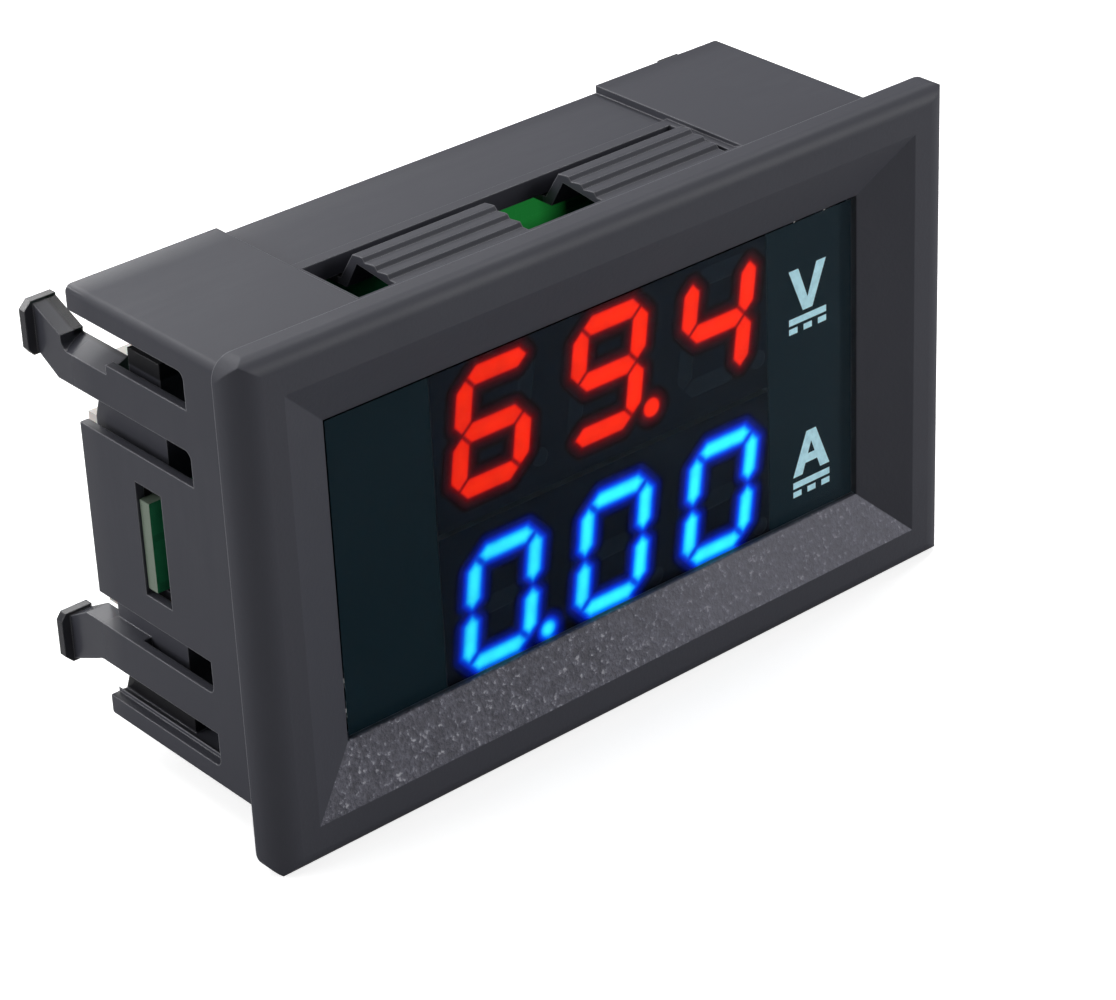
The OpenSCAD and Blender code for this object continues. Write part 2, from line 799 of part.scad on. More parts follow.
module trimmer_leads() {
    edge = trimmer_w / 2;
    color("#c0c0c4") for (z = [-trimmer_z, trimmer_z]) translate([trimmer_x, 0, z])
        for (p = [[-1.1, -1], [1.1, -1], [0, 1]])
            box(p[0] - 0.4, p[0] + 0.4, board_back, board_back + 0.7,
                p[1] > 0 ? edge : -edge - 0.25, p[1] > 0 ? edge + 0.25 : -edge);
}

// ---- Other small parts ----

// Sleeved can with a rolled groove near the board
module reservoir_capacitor() {
    r = reservoir_r;
    groove = 0.12;
    rim = 0.35;
    color("#1c1c22") translate([reservoir_at[0], board_back, reservoir_at[1]])
        rotate([-90, 0, 0]) rotate_extrude() polygon([
            [0, 0], [r, 0], [r, 0.6], [r - groove, 0.75], [r - groove, 0.95], [r, 1.1],
            [r, reservoir_t - 0.15], [r - 0.15, reservoir_t], [r - rim, reservoir_t],
            [r - rim, reservoir_t - 0.2], [0, reservoir_t - 0.2]
        ]);
}

// Bare end of the can with its relief cross
module reservoir_end() {
    r = reservoir_r - 0.4;
    cross_w = 0.2;
    color("#c4c6ca") translate([reservoir_at[0], 0, reservoir_at[1]]) difference() {
        along_y(board_back + reservoir_t - 0.2, board_back + reservoir_t - 0.05) circle(r = r);
        along_y(board_back + reservoir_t - 0.12, big) {
            square([1.5 * r, cross_w], center = true);
            square([cross_w, 1.5 * r], center = true);
        }
    }
}

module chip_parts(spots, size) {
    for (p = spots) translate([p[0], board_back + size[2] / 2, p[1]])
        cube([size[0], size[2], size[1]], center = true);
}

module end_caps(spots, size) {
    x = (size[0] + end_cap) / 2;
    for (p = spots, s = [-1, 1]) translate([p[0] + s * x, board_back + size[2] / 2, p[1]])
        cube([end_cap, size[2], size[1]], center = true);
}

module chip_capacitors() color("#b8946a") chip_parts(capacitor_spots, capacitor_size);
module chip_resistors() color("#202024") chip_parts(resistor_spots, resistor_size);

module chip_end_caps() {
    color("#c8c8cc") {
        end_caps(capacitor_spots, capacitor_size);
        end_caps(resistor_spots, resistor_size);
    }
}

// A cone of solder around a round pin on the back of the board
module back_joint(p) {
    translate([p[0], board_back, p[1]]) rotate([-90, 0, 0]) difference() {
        cylinder(r1 = 0.7, r2 = 0.35, h = 0.6);
        translate([0, 0, -1]) cylinder(r = pin_r, h = 3);
    }
}

// A cone of solder around a square post on the front of the board
module front_joint(p) {
    translate([p[0], board_y, p[1]]) rotate([90, 0, 0]) difference() {
        cylinder(r1 = 1, r2 = 0.55, h = 0.7);
        cube([post, post, 3], center = true);
    }
}

module solder_joints() {
    color("#b8babf") {
        for (z = [red_z, blue_z], p = led_pin_spots(z)) back_joint(p);
        for (p = concat(header_posts(supply_z, supply_pins), header_posts(sense_z, sense_pins)))
            front_joint(p);
    }
}

housing();
display_window();
mask_film();
legend_marks();
red_led_shell();
red_lit_segments();
red_dark_segments();
red_led_chips();
red_led_board();
red_led_potting();
red_led_pins();
blue_led_shell();
blue_lit_segments();
blue_dark_segments();
blue_led_chips();
blue_led_board();
blue_led_potting();
blue_led_pins();
circuit_board();
microcontroller();
microcontroller_leads();
amplifier();
amplifier_leads();
voltage_regulator();
regulator_leads();
input_diode();
diode_leads();
current_shunt();
supply_header();
supply_header_pins();
sense_header();
sense_header_pins();
voltage_trimmer_base();
voltage_trimmer_rotor();
current_trimmer_base();
current_trimmer_rotor();
trimmer_leads();
reservoir_capacitor();
reservoir_end();
chip_capacitors();
chip_resistors();
chip_end_caps();
solder_joints();
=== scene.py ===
import math

import bmesh
import bpy
from mathutils import Matrix, Vector
from mathutils.geometry import convex_hull_2d

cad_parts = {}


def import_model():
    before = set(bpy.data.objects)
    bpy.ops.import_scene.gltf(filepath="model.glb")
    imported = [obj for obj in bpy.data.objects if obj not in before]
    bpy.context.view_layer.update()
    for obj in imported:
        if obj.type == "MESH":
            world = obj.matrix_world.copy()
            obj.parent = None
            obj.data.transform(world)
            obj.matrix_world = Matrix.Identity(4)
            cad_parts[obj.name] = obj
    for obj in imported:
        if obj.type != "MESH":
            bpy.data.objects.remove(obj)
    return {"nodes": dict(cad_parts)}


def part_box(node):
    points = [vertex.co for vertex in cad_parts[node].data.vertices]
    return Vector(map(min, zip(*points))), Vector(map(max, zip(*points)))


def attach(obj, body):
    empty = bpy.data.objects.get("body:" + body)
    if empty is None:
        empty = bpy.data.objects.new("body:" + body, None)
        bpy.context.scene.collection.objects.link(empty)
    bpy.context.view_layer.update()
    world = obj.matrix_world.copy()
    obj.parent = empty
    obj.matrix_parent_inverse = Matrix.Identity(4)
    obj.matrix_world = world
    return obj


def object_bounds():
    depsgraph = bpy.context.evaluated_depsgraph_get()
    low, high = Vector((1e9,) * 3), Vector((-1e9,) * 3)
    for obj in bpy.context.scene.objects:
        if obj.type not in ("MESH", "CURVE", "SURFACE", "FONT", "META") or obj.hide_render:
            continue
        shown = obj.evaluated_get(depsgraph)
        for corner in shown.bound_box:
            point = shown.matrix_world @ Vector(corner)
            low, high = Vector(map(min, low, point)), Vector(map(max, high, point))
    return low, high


# A snap-in digital panel meter with a red voltage line over a blue current line.
# X runs to the right, Y into the panel and Z up, in metres.

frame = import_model()
cad_low, cad_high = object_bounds()
nodes = frame["nodes"]
MM = 0.001
BLACK = (0.0, 0.0, 0.0)
GLOW_REACH = 0.9  # mm from a lit segment's outline to where its glow ends
AMBIENT = 0.14  # the world's level on the object


# ---- Shader helpers ----

def place(tree, kind, inputs=None, **settings):
    """Adds a node of one kind, sets its properties and fills or links its inputs, given by name or number."""
    node = tree.nodes.new(kind)
    for key, value in settings.items():
        setattr(node, key, value)
    for name, value in (inputs or {}).items():
        if isinstance(value, bpy.types.NodeSocket):
            tree.links.new(value, node.inputs[name])
        else:
            node.inputs[name].default_value = value
    return node


def plus(tree, a, b, clamp=False):
    """a + b, kept between 0 and 1 if clamp is set."""
    return place(tree, "ShaderNodeMath", {0: a, 1: b}, operation="ADD", use_clamp=clamp).outputs[0]


def minus(tree, a, b, clamp=False):
    """a - b, kept between 0 and 1 if clamp is set."""
    return place(tree, "ShaderNodeMath", {0: a, 1: b}, operation="SUBTRACT", use_clamp=clamp).outputs[0]


def times(tree, a, b):
    """a * b."""
    return place(tree, "ShaderNodeMath", {0: a, 1: b}, operation="MULTIPLY").outputs[0]


def size_of(tree, a):
    """a without its sign."""
    return place(tree, "ShaderNodeMath", {0: a}, operation="ABSOLUTE").outputs[0]


def place_in(tree):
    """The point on the surface, in the frame's own metres."""
    return place(tree, "ShaderNodeTexCoord").outputs["Object"]


def split(tree, vector):
    """The X, Y and Z of a vector."""
    return place(tree, "ShaderNodeSeparateXYZ", {"Vector": vector}).outputs


def facing_in(tree):
    """The X, Y and Z of the surface's normal."""
    return split(tree, place(tree, "ShaderNodeNewGeometry").outputs["Normal"])


def noise(tree, vector, scale, detail):
    """A soft noise from 0 to 1."""
    inputs = {"Vector": vector, "Scale": scale, "Detail": detail}
    return place(tree, "ShaderNodeTexNoise", inputs).outputs["Fac"]


def ramp_of(tree, value, stops):
    """A colour that follows a value through a list of (position, colour)."""
    node = place(tree, "ShaderNodeValToRGB", {"Fac": value})
    ramp = node.color_ramp
    while len(ramp.elements) < len(stops):
        ramp.elements.new(0.5)
    for element, (position, colour) in zip(ramp.elements, stops):
        element.position = position
        element.color = (*colour, 1.0) if len(colour) == 3 else colour
    return node.outputs["Color"]


def between(tree, value, low, high):
    """0 below low, 1 above high and a straight rise between them."""
    node = place(tree, "ShaderNodeMapRange", {"Value": value, "From Min": low, "From Max": high})
    return node.outputs["Result"]


def blend_colours(tree, amount, a, b):
    """Colour a goes over to colour b as amount goes from 0 to 1."""
    node = place(tree, "ShaderNodeMix", data_type="RGBA")
    for index, value in ((0, amount), (6, a), (7, b)):
        if isinstance(value, bpy.types.NodeSocket):
            tree.links.new(value, node.inputs[index])
        elif index:
            node.inputs[index].default_value = (*value, 1.0)
        else:
            node.inputs[index].default_value = value
    return node.outputs[2]


def effect(name, inputs, outputs, build):
    """A shared effect as a shader node group with named inputs and outputs."""
    tree = bpy.data.node_groups.new(name, "ShaderNodeTree")
    for label, value in inputs:
        item = tree.interface.new_socket(label, in_out="INPUT", socket_type="NodeSocketFloat")
        item.default_value = value
    for label, kind in outputs:
        tree.interface.new_socket(label, in_out="OUTPUT", socket_type=kind)
    source = tree.nodes.new("NodeGroupInput")
    result = tree.nodes.new("NodeGroupOutput")
    for label, value in build(tree, source.outputs).items():
        tree.links.new(value, result.inputs[label])
    return tree


def use(tree, group, **inputs):
    """Places a shared effect in a material and returns its outputs."""
    node = tree.nodes.new("ShaderNodeGroup")
    node.node_tree = group
    for name, value in inputs.items():
        label = name.replace("_", " ")
        if isinstance(value, bpy.types.NodeSocket):
            tree.links.new(value, node.inputs[label])
        else:
            node.inputs[label].default_value = value
    return node.outputs


# ---- Shared effects. Scales are in features per millimetre ----

def build_grain(tree, given):
    where = place_in(tree)
    fine = place(tree, "ShaderNodeTexNoise", {
        "Vector": where, "Detail": 3.0, "Roughness": 0.6,
        "Scale": times(tree, given["Features per mm"], 1000.0)})
    broad = place(tree, "ShaderNodeTexNoise", {
        "Vector": where, "Detail": 2.0, "Roughness": 0.5,
        "Scale": times(tree, given["Features per mm"], 320.0)})
    pits = between(tree, fine.outputs["Fac"], 0.38, 0.62)
    swell = between(tree, broad.outputs["Fac"], 0.35, 0.65)
    height = plus(tree, times(tree, pits, 0.7), times(tree, swell, 0.3))
    glint = between(tree, fine.outputs["Fac"], 0.6, 0.72)
    return {"Height": height, "Glint": glint}


spark_grain = effect(
    "spark grain", [("Features per mm", 3.0)],
    [("Height", "NodeSocketFloat"), ("Glint", "NodeSocketFloat")], build_grain)


def build_edges(tree, given):
    radius = times(tree, given["Radius in mm"], MM)
    rounded = place(tree, "ShaderNodeBevel", {"Radius": radius}, samples=6).outputs["Normal"]
    flat = place(tree, "ShaderNodeNewGeometry").outputs["Normal"]
    agree = place(tree, "ShaderNodeVectorMath", {0: rounded, 1: flat}, operation="DOT_PRODUCT")
    return {"Normal": rounded, "Edge": between(tree, agree.outputs["Value"], 0.995, 0.86)}


soft_edges = effect(
    "soft edges", [("Radius in mm", 0.12)],
    [("Normal", "NodeSocketVector"), ("Edge", "NodeSocketFloat")], build_edges)


def build_handling(tree, given):
    where = place_in(tree)
    cloud = place(tree, "ShaderNodeTexNoise", {
        "Vector": where, "Scale": 90.0, "Detail": 4.0, "Roughness": 0.55, "Distortion": 0.4})
    streak = place(tree, "ShaderNodeMapping", {"Vector": where, "Scale": (1.0, 5.0, 1.0)})
    wipe = noise(tree, streak.outputs["Vector"], 240.0, 2.0)
    mask = times(tree, between(tree, cloud.outputs["Fac"], 0.4, 0.7), between(tree, wipe, 0.35, 0.65))
    return {"Mask": times(tree, mask, given["Amount"])}


handling = effect("handling marks", [("Amount", 1.0)], [("Mask", "NodeSocketFloat")], build_handling)


def build_drawn_lines(tree, given):
    where = place_in(tree)
    along = place(tree, "ShaderNodeMapping", {"Vector": where, "Scale": (1.0, 0.06, 1.0)})
    lines = place(tree, "ShaderNodeTexNoise", {
        "Vector": along.outputs["Vector"], "Detail": 2.0,
        "Scale": times(tree, given["Lines per mm"], 1000.0)})
    return {"Height": lines.outputs["Fac"], "Mask": between(tree, lines.outputs["Fac"], 0.4, 0.6)}


drawn_lines = effect(
    "drawn lines", [("Lines per mm", 12.0)],
    [("Height", "NodeSocketFloat"), ("Mask", "NodeSocketFloat")], build_drawn_lines)


# ---- Materials ----

def material(name, **constants):
    """A material with a Principled BSDF whose plain sockets are set by name."""
    made = bpy.data.materials.new(name)
    made.use_nodes = True
    tree = made.node_tree
    tree.nodes.clear()
    shader = place(tree, "ShaderNodeBsdfPrincipled")
    output = place(tree, "ShaderNodeOutputMaterial")
    tree.links.new(shader.outputs["BSDF"], output.inputs["Surface"])
    for key, value in constants.items():
        shader.inputs[key.replace("_", " ")].default_value = value
    return made, tree, shader


def bump(tree, height, depth_mm, normal=None, strength=1.0):
    """A bump of a real depth, over a softened normal if one is given."""
    inputs = {"Height": height, "Distance": depth_mm * MM, "Strength": strength}
    if normal is not None:
        inputs["Normal"] = normal
    return place(tree, "ShaderNodeBump", inputs).outputs["Normal"]


def moulded(name, colour, worn, roughness, per_mm, depth_mm, edge_mm=0.06, marks=0.5, **constants):
    """A moulded or cast surface: fine grain, softened and lightly worn edges, and handling marks."""
    made, tree, shader = material(name, **constants)
    grain = use(tree, spark_grain, Features_per_mm=per_mm)
    edges = use(tree, soft_edges, Radius_in_mm=edge_mm)
    touched = use(tree, handling, Amount=marks)
    base = blend_colours(tree, touched["Mask"], colour, tuple(min(1.0, c * 1.25) for c in colour))
    base = blend_colours(tree, edges["Edge"], base, worn)
    tree.links.new(base, shader.inputs["Base Color"])
    rough = plus(tree, roughness, times(tree, grain["Height"], 0.12))
    rough = minus(tree, rough, times(tree, touched["Mask"], 0.1), clamp=True)
    tree.links.new(rough, shader.inputs["Roughness"])
    tree.links.new(bump(tree, grain["Height"], depth_mm, edges["Normal"]), shader.inputs["Normal"])
    return made


def plated(name, colour, dull, roughness, per_mm=8.0, depth_mm=0.002, edge_mm=0.04, **constants):
    """A metal surface with dull patches and a fine uneven skin."""
    made, tree, shader = material(name, Metallic=1.0, **constants)
    grain = use(tree, spark_grain, Features_per_mm=per_mm)
    edges = use(tree, soft_edges, Radius_in_mm=edge_mm)
    touched = use(tree, handling, Amount=1.0)
    base = blend_colours(tree, touched["Mask"], colour, dull)
    tree.links.new(base, shader.inputs["Base Color"])
    rough = plus(tree, roughness, times(tree, touched["Mask"], 0.25), clamp=True)
    tree.links.new(rough, shader.inputs["Roughness"])
    tree.links.new(bump(tree, grain["Height"], depth_mm, edges["Normal"]), shader.inputs["Normal"])
    return made


def housing_plastic():
    """Dark grey ABS: satin body, leathery lower bezel slope, glossier snap arms, edges lighter partly from
    wear and partly as painted highlight, painted light on the upward-facing slope and painted shade on the
    arm lips and on the web above each arm.
    """
    made, tree, shader = material("housing_plastic", **{
        "IOR": 1.45, "Specular IOR Level": 0.35, "Coat Roughness": 0.16})
    low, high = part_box("housing")
    where = split(tree, place_in(tree))
    facing = facing_in(tree)
    height = size_of(tree, where["Z"])

    # The bezel, and the slope under the window, whose leather grain is strongest on the left.
    front = between(tree, where["Y"], 0.0, -0.2 * MM)
    upward = between(tree, facing["Z"], 0.1, 0.4)
    under_window = between(tree, where["Z"], low.z + 6.5 * MM, low.z + 5.5 * MM)
    slope = times(tree, times(tree, upward, front), under_window)
    leftward = place(tree, "ShaderNodeMapRange", {
        "Value": where["X"], "From Min": -4.0 * MM, "From Max": 8.0 * MM, "To Min": 1.0, "To Max": 0.5})
    leather = times(tree, slope, leftward.outputs["Result"])

    # The snap arms and their lips, which get painted shade, and the web above each arm, which also gets
    # painted shade.
    arms = between(tree, where["Y"], high.y - 5.5 * MM, high.y - 3.5 * MM)
    painted_dark_lips = between(tree, where["Y"], high.y - 0.65 * MM, high.y - 0.45 * MM)
    inside = between(tree, size_of(tree, where["X"]), high.x - 2.4 * MM, high.x - 2.6 * MM)
    above_arm = between(tree, height, high.z - 5.3 * MM, high.z - 5.2 * MM)
    under_roof = between(tree, height, high.z - 3.2 * MM, high.z - 3.3 * MM)
    behind_board = between(tree, where["Y"], high.y - 10.2 * MM, high.y - 10.1 * MM)
    # Painted shade: the web above each arm, under the roof and behind the board.
    painted_shade_web = times(tree, times(tree, inside, above_arm), times(tree, behind_board, under_roof))

    etched = use(tree, spark_grain, Features_per_mm=3.4)
    smooth = use(tree, spark_grain, Features_per_mm=7.0)
    edges = use(tree, soft_edges, Radius_in_mm=0.12)
    touched = use(tree, handling, Amount=0.5)
    # Edges behind the bezel, lightened partly for wear and partly as painted highlight; they are also made
    # smoother.
    worn = times(tree, edges["Edge"], minus(tree, 1.0, front, clamp=True))
    pits = minus(tree, 1.0, etched["Height"], clamp=True)

    base = blend_colours(tree, touched["Mask"], (0.0655, 0.067, 0.083), (0.0735, 0.075, 0.092))
    # Painted light: the upward-facing slope under the window gets a lighter base colour for the light it
    # catches; its leather grain is real.
    base = blend_colours(tree, slope, base, (0.18, 0.18, 0.225))
    base = blend_colours(tree, times(tree, pits, times(tree, leather, 0.7)), base, (0.04, 0.04, 0.05))
    # Painted glints: bright specks in the leather grain stand in for highlights on it.
    painted_glints = times(tree, etched["Glint"], times(tree, leather, 0.8))
    base = blend_colours(tree, painted_glints, base, (0.6, 0.6, 0.66))
    # Edges lighter, partly from wear and partly as painted highlight.
    base = blend_colours(tree, times(tree, worn, 0.8), base, (0.3, 0.3, 0.33))
    # Painted shade: the lips at the ends of the snap arms are darkened.
    base = blend_colours(tree, times(tree, painted_dark_lips, 0.6), base, (0.015, 0.015, 0.016))
    # Painted shade: the web above each arm is made nearly black.
    base = blend_colours(tree, times(tree, painted_shade_web, 0.95), base, (0.012, 0.012, 0.014))
    tree.links.new(base, shader.inputs["Base Color"])

    rough = minus(tree, 0.5, times(tree, arms, 0.24))
    rough = minus(tree, rough, times(tree, touched["Mask"], 0.1), clamp=True)
    rough = minus(tree, rough, times(tree, worn, 0.2), clamp=True)
    tree.links.new(rough, shader.inputs["Roughness"])
    tree.links.new(times(tree, arms, 0.3), shader.inputs["Coat Weight"])

    fine = bump(tree, smooth["Height"], 0.0018, edges["Normal"])
    deep = plus(tree, times(tree, front, 0.06), times(tree, leather, 0.9))
    pitted = bump(tree, times(tree, etched["Height"], deep), 0.06, fine)
    tree.links.new(pitted, shader.inputs["Normal"])
    return made


def window_acrylic():
    """Smoke-tinted acrylic with fine wipe marks. Its side faces are see-through, so they mirror nothing."""
    made, tree, shader = material("window_acrylic", **{
        "IOR": 1.45, "Transmission Weight": 1.0, "Specular Tint": (0.04, 0.05, 0.06, 1.0)})
    touched = use(tree, handling, Amount=0.6)
    tint = blend_colours(tree, touched["Mask"], (0.55, 0.74, 0.82), (0.5, 0.7, 0.78))
    tree.links.new(tint, shader.inputs["Base Color"])
    broad_face = between(tree, size_of(tree, facing_in(tree)["Y"]), 0.3, 0.7)
    tree.links.new(broad_face, shader.inputs["Alpha"])
    tree.links.new(times(tree, touched["Mask"], 0.03), shader.inputs["Roughness"])
    return made


def board_mask():
    """Green solder mask over stepped copper areas, pale glass-epoxy at the cut edge.

    The strip under the top slots has painted light: a faint green glow stands in for the light that reaches
    it inside the real meter."""
    made, tree, shader = material("board_solder_mask", **{
        "Coat Weight": 0.5, "Coat Roughness": 0.15, "Emission Strength": 1.0})
    point = place_in(tree)
    where = split(tree, point)
    # Painted light: the strip of the board under the top slots.
    lit = times(tree, between(tree, where["Z"], 8.0 * MM, 9.5 * MM),
                between(tree, size_of(tree, where["X"]), 6.0 * MM, 4.0 * MM))
    face = between(tree, size_of(tree, facing_in(tree)["Y"]), 0.3, 0.7)

    pitch = 0.4 * MM
    grid = place(tree, "ShaderNodeVectorMath", {0: point, 1: (pitch, pitch, pitch)}, operation="SNAP")
    areas = noise(tree, grid.outputs["Vector"], 330.0, 0.0)
    pour = between(tree, size_of(tree, minus(tree, areas, 0.5)), 0.02, 0.03)
    turned = place(tree, "ShaderNodeMapping", {"Vector": point, "Rotation": (math.pi / 2, 0, 0)})
    weave = place(tree, "ShaderNodeTexBrick", {
        "Vector": turned.outputs["Vector"], "Scale": 1800.0, "Mortar Size": 0.12}).outputs["Fac"]
    edges = use(tree, soft_edges, Radius_in_mm=0.05)
    touched = use(tree, handling, Amount=0.8)

    green = blend_colours(tree, pour, (0.018, 0.23, 0.09), (0.026, 0.32, 0.125))
    green = blend_colours(tree, touched["Mask"], green, (0.06, 0.42, 0.19))
    cut = blend_colours(tree, weave, (0.4, 0.42, 0.36), (0.2, 0.26, 0.2))
    tree.links.new(blend_colours(tree, face, cut, green), shader.inputs["Base Color"])
    # Painted light: faint green emission on that strip.
    glow = blend_colours(tree, lit, BLACK, (0.008, 0.12, 0.02))
    tree.links.new(glow, shader.inputs["Emission Color"])
    rough = plus(tree, 0.3, times(tree, touched["Mask"], 0.25))
    tree.links.new(rough, shader.inputs["Roughness"])
    height = plus(tree, times(tree, pour, 0.8), times(tree, weave, 0.1))
    tree.links.new(bump(tree, height, 0.02, edges["Normal"]), shader.inputs["Normal"])
    return made


def shell_face():
    """Black LED module: greyer matt side walls and a printed front with a slight orange-peel skin."""
    made = moulded(
        "led_module_black", (0.0015, 0.005, 0.018), (0.012, 0.017, 0.035), 0.5, 5.0, 0.003, marks=0.6,
        **{"Specular IOR Level": 0.15})
    tree = made.node_tree
    base = tree.nodes["Principled BSDF"].inputs["Base Color"]
    side = between(tree, size_of(tree, facing_in(tree)["Y"]), 0.7, 0.3)
    tree.links.new(blend_colours(tree, side, base.links[0].from_socket, (0.09, 0.09, 0.105)), base)
    return made


def glowing(name, stops, strength):
    """Painted glow in the resin and the print round the lit segments, by the distance in mm from their
    outline.
    """
    made, tree, shader = material(name, **{
        "Base Color": (0.004, 0.007, 0.016, 1.0), "Emission Strength": strength, "Specular IOR Level": 0.0})
    reach = place(tree, "ShaderNodeAttribute", attribute_name="reach").outputs["Fac"]
    point = place_in(tree)
    cloud = noise(tree, point, 900.0, 3.0)
    light = ramp_of(tree, between(tree, reach, -0.5, GLOW_REACH), stops)
    from_left = between(tree, split(tree, point)["X"], -60.0 * MM, 2.0 * MM)
    level = times(tree, from_left, between(tree, cloud, -1.2, 0.6))
    tree.links.new(blend_colours(tree, level, BLACK, light), shader.inputs["Emission Color"])
    tree.links.new(between(tree, reach, GLOW_REACH, 0.6), shader.inputs["Alpha"])
    tree.links.new(plus(tree, 0.3, times(tree, cloud, 0.3)), shader.inputs["Roughness"])
    return made


def lit_resin(name, colour, strength):
    """Clear resin column over a lit die."""
    made, tree, shader = material(name, **{"Emission Strength": strength, "Base Color": (*colour, 1.0)})
    grain = use(tree, spark_grain, Features_per_mm=4.0)
    tree.links.new(blend_colours(tree, grain["Height"], colour, tuple(c * 0.7 for c in colour)),
                   shader.inputs["Emission Color"])
    tree.links.new(plus(tree, 0.25, times(tree, grain["Height"], 0.2)),
                   shader.inputs["Roughness"])
    return made


def printed_legend():
    """Pale screen print on the back of the window. Its painted glow makes up for what the dark tint takes
    away.
    """
    made, tree, shader = material("legend_print", **{"Emission Strength": 0.72})
    grain = noise(tree, place_in(tree), 2500.0, 2.0)
    ink = blend_colours(tree, between(tree, grain, 0.3, 0.7), (0.62, 0.72, 0.72), (0.85, 0.9, 0.88))
    tree.links.new(ink, shader.inputs["Base Color"])
    tree.links.new(ink, shader.inputs["Emission Color"])
    tree.links.new(plus(tree, 0.4, times(tree, grain, 0.2)), shader.inputs["Roughness"])
    return made


def mask_print():
    """Dark screen print on the back of the window, with painted light in it that stands in for a trace of the
    digits' light.
    """
    made, tree, shader = material("window_mask_print", **{
        "Emission Strength": 1.0, "Roughness": 0.6, "Specular IOR Level": 0.1})
    point = place_in(tree)
    dots = noise(tree, point, 4000.0, 2.0)
    ink = blend_colours(tree, dots, (0.004, 0.009, 0.012), (0.008, 0.015, 0.02))
    tree.links.new(ink, shader.inputs["Base Color"])
    # Painted light, brighter towards the right and broken up by a soft cloud.
    rightward = between(tree, split(tree, point)["X"], -14.0 * MM, 16.0 * MM)
    glow = blend_colours(tree, rightward, (0.002, 0.0065, 0.0085), (0.0035, 0.009, 0.0125))
    cloud = times(tree, noise(tree, point, 300.0, 3.0), 0.5)
    tree.links.new(blend_colours(tree, cloud, glow, (0.0015, 0.0045, 0.006)), shader.inputs["Emission Color"])
    return made


def drawn_metal(name, colour, dull, roughness, lines):
    """Metal drawn through a die: fine lines and a dull film."""
    made, tree, shader = material(name, Metallic=1.0)
    drawn = use(tree, drawn_lines, Lines_per_mm=lines)
    edges = use(tree, soft_edges, Radius_in_mm=0.06)
    touched = use(tree, handling, Amount=1.0)
    base = blend_colours(tree, touched["Mask"], colour, dull)
    base = blend_colours(tree, times(tree, drawn["Mask"], 0.2), base, dull)
    tree.links.new(base, shader.inputs["Base Color"])
    rough = plus(tree, roughness, times(tree, drawn["Mask"], 0.12))
    tree.links.new(rough, shader.inputs["Roughness"])
    tree.links.new(bump(tree, drawn["Height"], 0.004, edges["Normal"]), shader.inputs["Normal"])
    return made


housing_look = housing_plastic()
window_look = window_acrylic()
legend_look = printed_legend()
board_look = board_mask()
shell_look = shell_face()
red_resin = lit_resin("red_lit_resin", (1.0, 0.06, 0.015), 1.6)
blue_resin = lit_resin("blue_lit_resin", (0.05, 0.55, 1.0), 1.2)
dark_resin = moulded("unlit_resin", (0.01, 0.015, 0.03), (0.025, 0.03, 0.045), 0.4, 3.0, 0.003,
                     **{"Specular IOR Level": 0.2})
die_look = plated("led_die_gold", (0.75, 0.6, 0.35), (0.5, 0.4, 0.25), 0.3)
glass_epoxy = moulded("bare_glass_epoxy", (0.62, 0.58, 0.4), (0.7, 0.66, 0.5), 0.5, 7.0, 0.006)
potting_look = moulded("cast_epoxy", (0.62, 0.58, 0.46), (0.7, 0.66, 0.55), 0.18, 0.8, 0.02,
                       **{"Coat Weight": 0.6})
chip_look = moulded("chip_moulding", (0.018, 0.018, 0.02), (0.07, 0.07, 0.075), 0.55, 9.0, 0.006)
resistor_look = moulded("resistor_glaze", (0.012, 0.012, 0.015), (0.4, 0.38, 0.34), 0.25, 5.0, 0.003,
                        **{"Coat Weight": 0.5})
nylon_look = moulded("natural_nylon", (0.8, 0.79, 0.75), (0.88, 0.87, 0.84), 0.4, 4.0, 0.004,
                     **{"Subsurface Weight": 0.15, "Subsurface Scale": 0.001})
ceramic_look = moulded("trimmer_ceramic", (0.7, 0.69, 0.64), (0.82, 0.81, 0.77), 0.45, 8.0, 0.004)
capacitor_look = moulded("capacitor_ceramic", (0.34, 0.23, 0.13), (0.45, 0.33, 0.22), 0.35, 6.0, 0.004)
tin_look = plated("tin_plate", (0.72, 0.72, 0.74), (0.5, 0.5, 0.52), 0.22)
solder_look = plated("solder_fillet", (0.68, 0.68, 0.7), (0.42, 0.42, 0.44), 0.28, per_mm=3.0, depth_mm=0.015)
shunt_look = drawn_metal("shunt_alloy", (0.55, 0.42, 0.3), (0.35, 0.27, 0.2), 0.3, 10.0)
can_look = drawn_metal("drawn_can", (0.78, 0.79, 0.81), (0.6, 0.61, 0.63), 0.2, 14.0)
film_look = mask_print()
sleeve_look = moulded("capacitor_sleeve", (0.012, 0.013, 0.022), (0.04, 0.04, 0.05), 0.28, 3.0, 0.004)
red_glow_look = glowing("red_segment_glow", [
    (0.0, (1.0, 0.017, 0.0)),
    (0.31, (0.95, 0.012, 0.0)),
    (0.36, (0.6, 0.004, 0.001)),
    (0.42, (0.15, 0.0, 0.0)),
    (0.55, (0.04, 0.0, 0.0)),
    (0.75, (0.008, 0.0, 0.0)),
    (1.0, BLACK),
], 2.1)
blue_glow_look = glowing("blue_segment_glow", [
    (0.0, (0.05, 0.9, 1.0)),
    (0.15, (0.035, 0.8, 1.0)),
    (0.28, (0.006, 0.4, 0.95)),
    (0.36, (0.0, 0.1, 0.75)),
    (0.46, (0.0, 0.02, 0.5)),
    (0.6, (0.0, 0.004, 0.14)),
    (0.8, (0.0, 0.001, 0.03)),
    (1.0, BLACK),
], 1.65)

